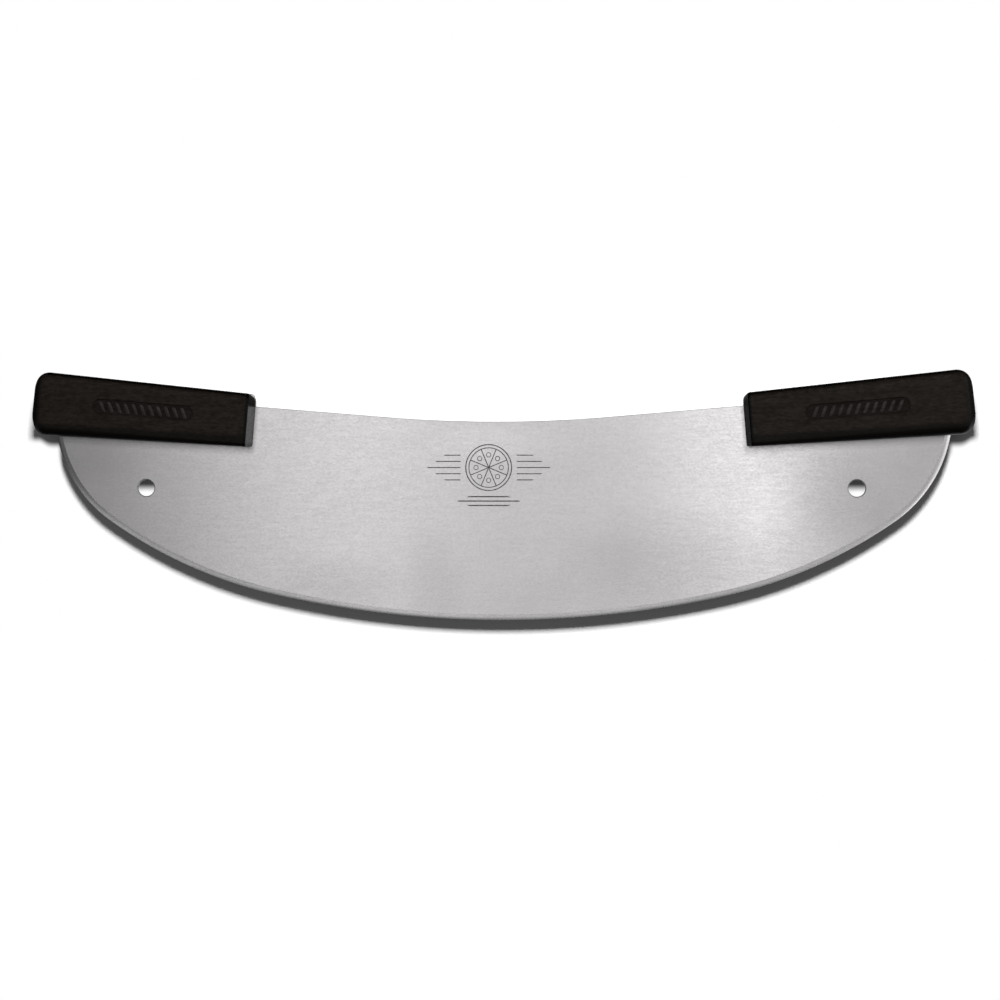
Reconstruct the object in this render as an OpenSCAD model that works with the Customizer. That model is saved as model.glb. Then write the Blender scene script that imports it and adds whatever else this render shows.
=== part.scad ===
// Rocking pizza knife: one crescent blade with a plastic handle moulded over each end.
// It stands upright on the lowest point of its cutting edge, with the blade in the X Z plane.

/* [Blade] */
// Width of the blade from tip to tip
blade_length = 510; // [420:1:560]
// Thickness of the blade plate
blade_thickness = 2; // [1.2:0.1:3]
// Radius of the long middle stretch of the cutting edge
belly_radius = 590; // [520:1:800]
// Half the angle that the middle stretch spans
belly_half_angle = 12.5; // [9:0.5:16]
// Radius of the cutting edge between the middle stretch and each tip
shoulder_radius = 265; // [220:1:300]
// Radius of the cutting edge at each tip
tip_radius = 75; // [50:1:100]
// Radius of the dip in the middle of the back of the blade
spine_radius = 760; // [500:5:1200]

/* [Ground edge] */
// Width of the ground bevel on each face
bevel_width = 3.2; // [1.5:0.1:6]
// Thickness of steel left at the cutting edge
edge_thickness = 0.2; // [0.1:0.05:0.5]

/* [Hanging holes] */
// Diameter of each hanging hole
hole_diameter = 9.5; // [6:0.1:14]
// Distance of each hanging hole from the tip of the blade, along the blade
hole_inset = 53; // [35:1:90]
// Distance of each hanging hole below the middle line of its handle
hole_drop = 43.5; // [34:0.5:55]

/* [Tangs] */
// Depth of plastic over the top edge of the tang, at the inner end of the handle
tang_cover = 7; // [4:0.1:9]
// Corner radius at the outer end of the tang
tang_corner = 6; // [2:0.5:10]
// Diameter of the anchor holes that the handle's plastic runs through
anchor_diameter = 9; // [5:0.5:12]
// Number of anchor holes in each tang
anchor_count = 3; // [1:1:4]
// Distance between anchor holes
anchor_pitch = 29; // [20:1:33]

/* [Handles] */
// Length of each handle along its own middle line
handle_length = 127.8; // [110:0.1:150]
// Height of the handle at its inner end
handle_inner_height = 30.2; // [24:0.1:34]
// Height of the handle at its outer end
handle_outer_height = 36.6; // [30:0.1:42]
// Thickness of the handle across both flat faces
handle_thickness = 22; // [16:0.5:30]
// Slope of the handles, rising towards the outer ends
handle_tilt = 4.7; // [2:0.1:8]
// Distance that the handle reaches past the tip of the blade
handle_overhang = 11.7; // [8:0.1:20]
// Height of the handle's middle line above the widest level of the blade
handle_lift = 5.2; // [2:0.1:8]
// Rounding of the handle's long edges
handle_edge_radius = 5; // [3:0.5:7]
// Corner radius at the outer end, seen from the front
outer_corner_radius = 9; // [8:0.5:14]
// Distance that the top corner of the outer end stands back from its bottom corner
outer_top_setback = 1; // [0:0.1:3]
// Corner radius at the top of the inner end, seen from the front
inner_top_radius = 4.5; // [2:0.5:7]
// Corner radius at the bottom of the inner end, seen from the front
inner_bottom_radius = 1.5; // [1:0.5:4]
// Distance that the sloping end face falls back between the blade and the flat faces
end_setback = 2.4; // [1:0.1:5]
// Thickness of plastic on each face of the blade where the sloping end face meets it
lip_thickness = 1.2; // [0.8:0.1:2.5]

/* [Hidden] */
// Facets round a full turn of each hull's own children
hull_facets = 32;
// Length by which a cutting shape runs past what it cuts
overcut = 1;
// Thickness of the thin discs that a hull is stretched over
disc = 0.1;
// Depth by which the bands along the edge lap over the straight outline
band_overlap = 8;

tip_x = blade_length / 2;
// The edge is three arcs in line: each centre lies on the last radius of the arc before it
belly_centre = [0, belly_radius];
shoulder_centre = belly_centre + (belly_radius - shoulder_radius) * heading(belly_half_angle);
shoulder_end_angle = asin((tip_x - tip_radius - shoulder_centre.x) / (shoulder_radius - tip_radius));
tip_centre = shoulder_centre + (shoulder_radius - tip_radius) * heading(shoulder_end_angle);
tip_height = tip_centre.y;
belly_end = belly_centre + belly_radius * heading(belly_half_angle);
shoulder_end = shoulder_centre + shoulder_radius * heading(shoulder_end_angle);

// Where the handle's middle line passes over the tip, and how far its two ends are from there
handle_origin = [tip_x, tip_height + handle_lift];
outer_u = handle_overhang / cos(handle_tilt);
inner_u = outer_u - handle_length;
tang_top = handle_inner_height / 2 - tang_cover;

// The back of the blade is two straight slopes, which run on as the tangs' top edges, and an arc
spine_low = handle_origin.y - tip_x * tan(handle_tilt) + tang_top / cos(handle_tilt);
spine_centre = [0, spine_low + spine_radius / cos(handle_tilt)];
spine_touch = spine_centre + spine_radius * heading(handle_tilt);
corner_x = tip_x - tang_corner;
corner_centre = [corner_x, spine_low + corner_x * tan(handle_tilt) - tang_corner / cos(handle_tilt)];
corner_touch = corner_centre - tang_corner * heading(handle_tilt);

hole_x = tip_x - hole_inset;
hole_y = handle_origin.y - hole_inset * tan(handle_tilt) - hole_drop;

// Unit vector at an angle from straight down, turning towards the right
function heading(angle) = [sin(angle), -cos(angle)];

// Point across the middle of the knife
function mirrored(point) = [-point.x, point.y];

// Everything is drawn flat, with the blade's height along Y, and then stood up
module upright() {
    rotate([90, 0, 0]) children();
}

module both_ends() {
    children();
    mirror([1, 0, 0]) children();
}

// Depth of a band that reaches from an arc to well inside the chord between its ends
function band_depth(radius, from, to) = radius * (1 / cos((to - from) / 2) - 1) + band_overlap;

// Straight-sided middle of the plate, kept inside the ground edge
module core_outline() {
    inset = bevel_width + overcut;
    right_side = [
        belly_end - inset * heading(belly_half_angle),
        shoulder_end - inset * heading(shoulder_end_angle),
        [tip_x - inset, tip_height],
        [tip_x, tip_height],
        [tip_x, corner_centre.y],
        corner_touch,
        spine_touch
    ];
    left_side = [for (i = [len(right_side) - 1 : -1 : 0]) mirrored(right_side[i])];
    polygon(concat(right_side, left_side));
}

// What the arc in the middle of the back takes off the core
module spine_dip() {
    reach = band_depth(spine_radius, -handle_tilt, handle_tilt);
    intersection() {
        translate(spine_centre) circle(r = spine_radius, $fn = 360);
        polygon([
            spine_centre + spine_radius * heading(-handle_tilt),
            spine_centre + (spine_radius + reach) * heading(-handle_tilt),
            spine_centre + (spine_radius + reach) * heading(handle_tilt),
            spine_centre + spine_radius * heading(handle_tilt),
            spine_centre + (spine_radius - reach) * heading(0)
        ]);
    }
}

// Band along one arc of the edge, thinned on both faces by the ground bevel
module ground_band(centre, radius, from, to) {
    half = blade_thickness / 2;
    edge = edge_thickness / 2;
    inner = radius - band_depth(radius, from, to);
    translate(centre) rotate([0, 0, from - 90]) rotate_extrude(angle = to - from, $fn = 720)
        polygon([
            [inner, -half],
            [radius - bevel_width, -half],
            [radius, -edge],
            [radius, edge],
            [radius - bevel_width, half],
            [inner, half]
        ]);
}

// Puts a child into the right handle's own frame: X along its middle line, Y across it
module at_handle() {
    translate(handle_origin) rotate(handle_tilt) children();
}

module anchor_holes() {
    middle_u = (inner_u + end_setback) / 2;
    middle_v = (tang_top - handle_inner_height / 2) / 2;
    at_handle() for (i = [0 : anchor_count - 1])
        translate([middle_u + (i - (anchor_count - 1) / 2) * anchor_pitch, middle_v, 0])
            cylinder(d = anchor_diameter, h = blade_thickness + 2 * overcut, center = true, $fn = 48);
}

module hanging_hole() {
    translate([hole_x, hole_y, 0])
        cylinder(d = hole_diameter, h = blade_thickness + 2 * overcut, center = true, $fn = 64);
}

// The whole steel plate, lying flat
module plate() {
    difference() {
        union() {
            linear_extrude(blade_thickness, center = true) difference() {
                core_outline();
                spine_dip();
            }
            ground_band(belly_centre, belly_radius, -belly_half_angle, belly_half_angle);
            both_ends() {
                ground_band(shoulder_centre, shoulder_radius, belly_half_angle, shoulder_end_angle);
                ground_band(tip_centre, tip_radius, shoulder_end_angle, 90);
                translate(corner_centre)
                    cylinder(r = tang_corner, h = blade_thickness, center = true, $fn = 64);
            }
        }
        both_ends() {
            anchor_holes();
            hanging_hole();
        }
    }
}

// Disc with rounded rims, for the outer corners
module puck(radius, edge) {
    flat_height = handle_thickness - 2 * edge;
    rotate_extrude($fn = hull_facets * 1.5) {
        translate([0, -handle_thickness / 2]) square([radius - edge, handle_thickness]);
        translate([0, -flat_height / 2]) square([radius, flat_height]);
        for (side = [-1, 1]) intersection() {
            translate([radius - edge, side * flat_height / 2]) circle(r = edge, $fn = hull_facets);
            translate([0, -handle_thickness / 2]) square([radius, handle_thickness]);
        }
    }
}

// Solid handle with a tapering height, rounded long edges and sloping inner end faces
module handle_blank() {
    inner_half = handle_inner_height / 2;
    outer_half = handle_outer_height / 2;
    edge = handle_edge_radius;
    lip = blade_thickness + 2 * lip_thickness;
    corner_u = outer_u - outer_corner_radius;
    face_y = handle_thickness / 2;
    at_handle() hull() {
        for (side = [-1, 1]) {
            setback = (1 + side) / 2 * outer_top_setback;
            translate([corner_u - setback, side * (outer_half - outer_corner_radius), 0])
                puck(outer_corner_radius, edge);
            for (face = [-1, 1])
                translate([inner_u + end_setback, side * (inner_half - edge), face * (face_y - edge)])
                    rotate([0, 90, 0]) cylinder(r = edge, h = disc, $fn = hull_facets);
        }
        translate([inner_u + inner_top_radius, inner_half - inner_top_radius, 0])
            cylinder(r = inner_top_radius, h = lip, center = true, $fn = hull_facets);
        translate([inner_u + inner_bottom_radius, inner_bottom_radius - inner_half, 0])
            cylinder(r = inner_bottom_radius, h = lip, center = true, $fn = hull_facets);
    }
}

// The handle is moulded over the tang, so its plastic fills the anchor holes as well
module moulded_handle() {
    difference() {
        handle_blank();
        plate();
    }
}

module blade() {
    color([0.74, 0.74, 0.74]) upright() plate();
}

module left_handle() {
    color([0.06, 0.055, 0.05]) upright() mirror([1, 0, 0]) moulded_handle();
}

module right_handle() {
    color([0.06, 0.055, 0.05]) upright() moulded_handle();
}

blade();
left_handle();
right_handle();
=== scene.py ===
"""Looks of a rocking pizza knife, dressed over its CAD frame.

The knife stands upright on the lowest point of its cutting edge, with X along the blade and the
photographed face towards -Y. Lengths are in metres.
"""

import logging
import math
from dataclasses import dataclass
from enum import Enum, IntEnum
from typing import Iterable, Sequence

import bmesh
import bpy
from mathutils import Matrix, Vector
from mathutils.geometry import tessellate_polygon


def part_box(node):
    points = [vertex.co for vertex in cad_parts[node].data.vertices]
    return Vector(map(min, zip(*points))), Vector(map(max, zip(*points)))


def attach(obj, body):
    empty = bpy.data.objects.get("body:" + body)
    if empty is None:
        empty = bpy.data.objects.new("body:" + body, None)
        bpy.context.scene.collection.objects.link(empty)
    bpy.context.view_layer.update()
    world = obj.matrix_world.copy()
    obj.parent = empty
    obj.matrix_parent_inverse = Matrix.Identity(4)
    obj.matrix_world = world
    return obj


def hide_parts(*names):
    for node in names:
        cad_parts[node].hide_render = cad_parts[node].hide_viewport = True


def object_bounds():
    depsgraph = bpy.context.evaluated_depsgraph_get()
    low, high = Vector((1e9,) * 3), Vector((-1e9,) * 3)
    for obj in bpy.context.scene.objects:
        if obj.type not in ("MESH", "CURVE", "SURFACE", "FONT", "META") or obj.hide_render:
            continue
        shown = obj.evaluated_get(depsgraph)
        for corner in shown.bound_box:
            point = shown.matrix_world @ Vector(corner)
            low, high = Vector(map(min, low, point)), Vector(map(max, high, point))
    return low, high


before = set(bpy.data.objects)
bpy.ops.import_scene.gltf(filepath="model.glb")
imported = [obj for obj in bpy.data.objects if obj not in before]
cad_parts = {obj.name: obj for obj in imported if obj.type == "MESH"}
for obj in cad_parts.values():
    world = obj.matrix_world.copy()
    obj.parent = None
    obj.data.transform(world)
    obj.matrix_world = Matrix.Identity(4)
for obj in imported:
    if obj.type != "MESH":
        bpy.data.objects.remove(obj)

CAD_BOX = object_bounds()
LOG = logging.getLogger("rocking_pizza_knife")
MM = 0.001
WALL_SCALE = 3.0
Colour = tuple[float, float, float]
Flat = tuple[float, float]
Point = tuple[float, float, float]
Material = bpy.types.Material
Mesh = bpy.types.Mesh
Node = bpy.types.Node
Outputs = bpy.types.bpy_prop_collection
Piece = bpy.types.Object
Shell = bmesh.types.BMesh
Socket = bpy.types.NodeSocket
Tree = bpy.types.NodeTree
Vert = bmesh.types.BMVert
Feed = Socket | float | Sequence[float]


class Side(Enum):
    """End of the knife, with its sign along X."""

    LEFT = -1
    RIGHT = 1


class Face(Enum):
    """Flat face of the knife, with its sign along Y."""

    FRONT = -1
    BACK = 1


class SteelSlot(IntEnum):
    """Material slot of the blade's mesh."""

    FACE = 0
    GROUND = 1
    SHEARED = 2


class PlasticSlot(IntEnum):
    """Material slot of a handle's mesh."""

    SKIN = 0
    RECESS = 1
    END = 2
    RIB = 3


# Node helpers


class Graph:
    """A node tree with short calls that add and join its nodes."""

    def __init__(self, tree: Tree) -> None:
        """Keeps the material, world or group tree that the nodes go in."""
        self.tree = tree

    def feed(self, socket: Socket, value: Feed) -> None:
        """Joins an input to another socket, or sets it to a number, vector or colour."""
        if isinstance(value, Socket):
            self.tree.links.new(value, socket)
        else:
            socket.default_value = value

    def add(self, kind: str, inputs: dict[str | int, Feed] | None = None, **settings: object) -> Node:
        """Adds a node.

        Args:
            kind: Node type without its ShaderNode prefix.
            inputs: Feeds by input name or number.
            **settings: Node properties to set.

        Returns:
            The new node.
        """
        node = self.tree.nodes.new(f"ShaderNode{kind}")
        for name, value in settings.items():
            setattr(node, name, value)
        for name, value in (inputs or {}).items():
            self.feed(node.inputs[name], value)
        return node

    def math(self, operation: str, a: Feed, b: Feed = 0.0, c: Feed = 0.0, clamp: bool = False) -> Socket:
        """Adds a Math node.

        Args:
            operation: Blender's name of the operation.
            a: First value.
            b: Second value.
            c: Third value.
            clamp: Whether the result stays between 0 and 1.

        Returns:
            The result.
        """
        return self.add("Math", {0: a, 1: b, 2: c}, operation=operation, use_clamp=clamp).outputs[0]

    def chain(self, operation: str, first: Feed, second: Feed, *others: Feed) -> Socket:
        """Joins two or more values by one operation, from left to right."""
        result = self.math(operation, first, second)
        for other in others:
            result = self.math(operation, result, other)
        return result

    def times(self, *values: Feed) -> Socket:
        """Multiplies two or more values."""
        return self.chain("MULTIPLY", *values)

    def plus(self, *values: Feed) -> Socket:
        """Adds two or more values."""
        return self.chain("ADD", *values)

    def minus(self, value: Feed, less: Feed) -> Socket:
        """Takes one value from another."""
        return self.math("SUBTRACT", value, less)

    def over(self, value: Feed, divisor: Feed) -> Socket:
        """Divides one value by another."""
        return self.math("DIVIDE", value, divisor)

    def times_plus(self, value: Feed, factor: Feed, start: Feed) -> Socket:
        """Multiplies a value by a factor and adds a start."""
        return self.math("MULTIPLY_ADD", value, factor, start)

    def band(self, value: Feed, low: float, high: float, start: float = 0.0, end: float = 1.0) -> Socket:
        """Maps a range of values smoothly to another.

        Args:
            value: Value to map.
            low: Value that gives start.
            high: Value that gives end.
            start: Result at low and below.
            end: Result at high and above.

        Returns:
            The mapped value.
        """
        inputs = {"Value": value, "From Min": low, "From Max": high, "To Min": start, "To Max": end}
        return self.add("MapRange", inputs, interpolation_type="SMOOTHSTEP").outputs["Result"]

    def turned(self, angle: Feed, low: float, high: float, start: float = 0.0, end: float = 1.0) -> Socket:
        """Maps a range of angles smoothly, with its limits in degrees and the rest as in band."""
        return self.band(angle, math.radians(low), math.radians(high), start, end)

    def noise(self, vector: Feed, scale: float, detail: float = 3.0, rough: float = 0.5) -> Socket:
        """Looks up noise from 0 to 1, with a number of finer layers and their strength."""
        inputs = {"Vector": vector, "Scale": scale, "Detail": detail, "Roughness": rough}
        return self.add("TexNoise", inputs).outputs["Fac"]

    def stretched(self, vector: Feed, scale: Sequence[float], turn: float = 0.0) -> Socket:
        """Scales a place along its axes, or by their inverses after a turn about Y in degrees."""
        inputs = {"Vector": vector, "Scale": tuple(scale), "Rotation": (0.0, math.radians(turn), 0.0)}
        return self.add("Mapping", inputs, vector_type="TEXTURE" if turn else "POINT").outputs["Vector"]

    def mix(self, factor: Feed, a: Feed, b: Feed) -> Socket:
        """Mixes two colours, where a factor of 0 gives the first."""
        return self.add("Mix", {0: factor, 6: a, 7: b}, data_type="RGBA").outputs[2]

    def split(self, vector: Feed) -> tuple[Socket, ...]:
        """Splits a vector into its X, Y and Z."""
        return tuple(self.add("SeparateXYZ", {0: vector}).outputs)

    def scaled(self, vector: Feed, factor: Feed) -> Socket:
        """Multiplies a vector or a colour by one factor."""
        return self.add("VectorMath", {0: vector, 3: factor}, operation="SCALE").outputs[0]

    def in_mm(self, place: Feed) -> Socket:
        """Turns a place from metres into millimetres."""
        return self.scaled(place, 1 / MM)

    def hypotenuse(self, x: Feed, y: Feed) -> Socket:
        """Finds the length of a flat vector."""
        flat = self.add("CombineXYZ", {0: x, 1: y}).outputs[0]
        return self.add("VectorMath", {0: flat}, operation="LENGTH").outputs["Value"]

    def place(self, group: Tree, inputs: dict[str, Feed]) -> Outputs:
        """Puts a node group in the tree and hands over its outputs."""
        return self.add("Group", inputs, node_tree=group).outputs


class EffectGroup(Graph):
    """A shader node group with named inputs and outputs."""

    def __init__(self, name: str, inputs: dict[str, float | None], outputs: Sequence[str]) -> None:
        """Makes the group, with a default value by input name (None for a vector) and value outputs."""
        super().__init__(bpy.data.node_groups.new(name, "ShaderNodeTree"))
        sockets = self.tree.interface
        for label, value in inputs.items():
            kind = "NodeSocketVector" if value is None else "NodeSocketFloat"
            socket = sockets.new_socket(name=label, in_out="INPUT", socket_type=kind)
            if value is not None:
                socket.default_value = value
        for label in outputs:
            sockets.new_socket(name=label, in_out="OUTPUT", socket_type="NodeSocketFloat")
        self.inputs = self.tree.nodes.new("NodeGroupInput").outputs
        self.results = self.tree.nodes.new("NodeGroupOutput").inputs

    def give(self, **results: Feed) -> Tree:
        """Feeds the outputs by name and hands over the finished group."""
        for name, value in results.items():
            self.feed(self.results[name], value)
        return self.tree


class Surface(Graph):
    """The nodes of a new material, with a Principled shader and object coordinates."""

    def __init__(self, name: str) -> None:
        """Makes the material and joins its shader to its output."""
        self.material = bpy.data.materials.new(name)
        self.material.use_nodes = True
        super().__init__(self.material.node_tree)
        self.tree.nodes.clear()
        self.shader = self.add("BsdfPrincipled")
        self.output = self.add("OutputMaterial", {"Surface": self.shader.outputs["BSDF"]})
        self.at = self.add("TexCoord").outputs["Object"]

    def effect(self, group: Tree, **inputs: Feed) -> Outputs:
        """Puts an effect's group at the object coordinates and hands over its outputs."""
        return self.place(group, {"Place": self.at, **inputs})

    def look(self, colour: Feed, rough: Feed, height: Feed, bump: float, depth: float) -> Material:
        """Feeds the shader's textured inputs.

        Args:
            colour: Base colour.
            rough: Roughness.
            height: Height of the surface's texture.
            bump: Strength of the bumps.
            depth: Depth of the bumps.

        Returns:
            The material.
        """
        relief = self.add("Bump", {"Height": height, "Strength": bump, "Distance": depth})
        feeds = {"Base Color": colour, "Roughness": rough, "Normal": relief.outputs["Normal"]}
        for name, value in feeds.items():
            self.feed(self.shader.inputs[name], value)
        return self.material


def lengthwise_grain_group() -> Tree:
    """Builds fine streaks along X, as brushing leaves: Streak from 0 to 1 and a finer Height."""
    fine_layers, fine_rough = 4.0, 0.62
    long_stretch, long_layers, long_share = (0.16, 0.5, 0.5), 2.0, 0.3
    inputs = {"Place": None, "Length": 12.0, "Width": 0.25}
    group = EffectGroup("lengthwise_grain", inputs, ("Streak", "Height"))
    x, y, z = group.split(group.in_mm(group.inputs["Place"]))
    along = group.over(x, group.inputs["Length"])
    across = group.over(z, group.inputs["Width"])
    deep = group.over(y, group.inputs["Width"])
    combined = group.add("CombineXYZ", {0: along, 1: deep, 2: across}).outputs[0]
    fine = group.noise(combined, 1.0, fine_layers, fine_rough)
    long_lines = group.noise(group.stretched(combined, long_stretch), 1.0, long_layers)
    share = group.times(fine, 1 - long_share)
    return group.give(Streak=group.times_plus(long_lines, long_share, share), Height=fine)


def fine_scratch_group() -> Tree:
    """Builds sparse short scratches at three slants, as wiping leaves: Scratch from 0 to 1."""
    slants = ((7.0, 38.0, 0.30), (-12.0, 26.0, 0.26), (3.0, 60.0, 0.34))
    patch_scale, patch_shift, depth_stretch = 0.045, 0.0006, 4
    group = EffectGroup("fine_scratches", {"Place": None, "Amount": 0.5}, ("Scratch",))
    place = group.in_mm(group.inputs["Place"])
    found = []
    for turn, length, width in slants:
        stretch = (length, width * depth_stretch, width)
        lines = group.noise(group.stretched(place, stretch, turn), 1.0, 1.0, 0.3)
        patches = group.noise(place, patch_scale + turn * patch_shift, 1.0)
        line = group.band(lines, 0.70, 0.76)
        found.append(group.times(line, group.band(patches, 0.46, 0.62)))
    total = group.math("ADD", group.math("ADD", found[0], found[1], clamp=True), found[2], clamp=True)
    return group.give(Scratch=group.times(total, group.inputs["Amount"]))


def soft_mottle_group() -> Tree:
    """Builds slow cloudy changes, as handling and uneven moulding leave: Cloud from 0 to 1."""
    group = EffectGroup("soft_mottle", {"Place": None, "Size": 30.0}, ("Cloud",))
    per_metre = group.over(1 / MM, group.inputs["Size"])
    place = group.scaled(group.inputs["Place"], per_metre)
    return group.give(Cloud=group.band(group.noise(place, 1.0, 3.0, 0.55), 0.28, 0.72))


def handle_edges_group() -> Tree:
    """Builds distances from the edges of the nearer handle, seen from the front.

    Returns:
        The group, with millimetres inward from the bottom, the top, the inner end and the outer end.
    """
    shape = Handle(Side.RIGHT)
    group = EffectGroup("handle_edges", {"Place": None}, ("Bottom", "Top", "Inner", "Outer"))
    x, _, z = group.split(group.in_mm(group.inputs["Place"]))
    past_tip = group.minus(group.math("ABSOLUTE", x), shape.middle_over_tip[0] / MM)
    over_tip = group.minus(z, shape.middle_over_tip[1] / MM)
    cosine, sine = math.cos(shape.tilt), math.sin(shape.tilt)
    along = group.times_plus(over_tip, sine, group.times(past_tip, cosine))
    across = group.times_plus(past_tip, -sine, group.times(over_tip, cosine))
    inner = group.minus(along, shape.inner_u / MM)
    taper = (shape.outer_half - shape.inner_half) / shape.length
    half = group.times_plus(inner, taper, shape.inner_half / MM)
    outer = group.minus(shape.outer_u / MM, along)
    bottom, top = group.plus(half, across), group.minus(half, across)
    return group.give(Bottom=bottom, Top=top, Inner=inner, Outer=outer)


def pie_mark_group() -> Tree:
    """Builds the etched mark: a round pie in eight slices, with plain lines beside and below it.

    Returns:
        The group, with Mark from 0 to 1. Its Place is in millimetres from the pie's middle.
    """
    pie_radius, crust_radius, rim_line, line, feather = 13.0, 11.2, 0.6, 0.52, 0.08
    slice_turn = math.radians(45)
    topping_at, topping_radius, topping_line = 7.2, 1.25, 0.4
    rule_gap, rule_line, rule_start = 3.5, 0.55, 16.0
    rule_half_height, rule_taper, rule_reach = 7.9, 1.4, 35.0
    low_drop, low_gap, low_line = 19.0, 2.5, 0.7
    low_half_height, low_taper, low_reach = 3.4, 2.5, 18.0
    group = EffectGroup("etched_pie_mark", {"Place": None}, ("Mark",))
    x, _, z = group.split(group.inputs["Place"])
    radius, angle = group.hypotenuse(x, z), group.math("ARCTAN2", z, x)

    def stroke(distance: Feed, width: float = line) -> Socket:
        """Turns a distance from a line into a soft-edged stroke."""
        half = width / 2
        return group.band(group.math("ABSOLUTE", distance), half - feather, half + feather, 1.0, 0.0)

    def nearest(value: Feed, gap: float) -> Socket:
        """Finds the signed distance from the nearest multiple of a gap."""
        shifted = group.plus(value, gap / 2)
        return group.minus(group.math("FLOORED_MODULO", shifted, gap), gap / 2)

    def within(value: Feed, limit: float) -> Socket:
        """Gives 1 where a value is below a limit, and 0 elsewhere."""
        return group.math("LESS_THAN", value, limit)

    rim = stroke(group.minus(radius, pie_radius), rim_line)
    crust = stroke(group.minus(radius, crust_radius))
    from_cut = group.minus(group.math("FLOORED_MODULO", angle, slice_turn), slice_turn / 2)
    cut = stroke(group.times(radius, group.math("SINE", from_cut)))
    cut = group.times(cut, within(radius, crust_radius))
    from_middle = nearest(angle, slice_turn)
    across = group.times(radius, group.math("SINE", from_middle))
    outward = group.times(radius, group.math("COSINE", from_middle))
    spot = group.hypotenuse(across, group.minus(outward, topping_at))
    topping = stroke(group.minus(spot, topping_radius), topping_line)

    away, height = group.math("ABSOLUTE", x), group.math("ABSOLUTE", z)
    outside = group.math("GREATER_THAN", away, rule_start)
    slanted = group.times_plus(height, rule_taper, away)
    beside = group.times(outside, within(height, rule_half_height), within(slanted, rule_reach))
    rules = group.times(stroke(nearest(z, rule_gap), rule_line), beside)

    below = group.plus(z, low_drop)
    depth = group.math("ABSOLUTE", below)
    slanted = group.times_plus(depth, low_taper, away)
    under = group.times(within(slanted, low_reach), within(depth, low_half_height))
    low_rules = group.times(stroke(nearest(below, low_gap), low_line), under)
    return group.give(Mark=group.chain("MAXIMUM", rim, crust, cut, topping, rules, low_rules))


# Finishes


@dataclass(frozen=True)
class Patch:
    """Soft round patch of the blade's face, in mm, where painted light and shade change its tone."""

    x: float
    z: float
    half_width: float
    half_height: float
    change: float


# Painted light and shade on the blade's face: soft patches that dim or lift the steel's colour
PAINTED_LIGHT_PATCHES = (
    Patch(96.0, 28.0, 70.0, 46.0, -0.15),
    Patch(-36.0, 20.0, 24.0, 46.0, -0.08),
    Patch(193.0, 72.0, 36.0, 42.0, -0.12),
    Patch(-226.0, 92.0, 32.0, 20.0, -0.07),
    Patch(-95.0, 18.0, 54.0, 24.0, -0.10),
    Patch(0.0, 101.0, 46.0, 15.0, 0.09),
    Patch(152.0, 62.0, 24.0, 32.0, 0.07),
)
# The painted shadow that a handle casts on the steel below and beside it: its limits in mm, its shade, and
# how much narrower it is past the inner end
PAINTED_SHADOW_LIMITS, PAINTED_SHADOW_LEVEL, PAINTED_SHADOW_NARROWING = (-0.5, 6.0), 0.60, 2.2
MARK_MIDDLE = (-0.005, 0.0, 0.0865)
MARK_COLOUR = (0.075, 0.073, 0.075, 1.0)


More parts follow.
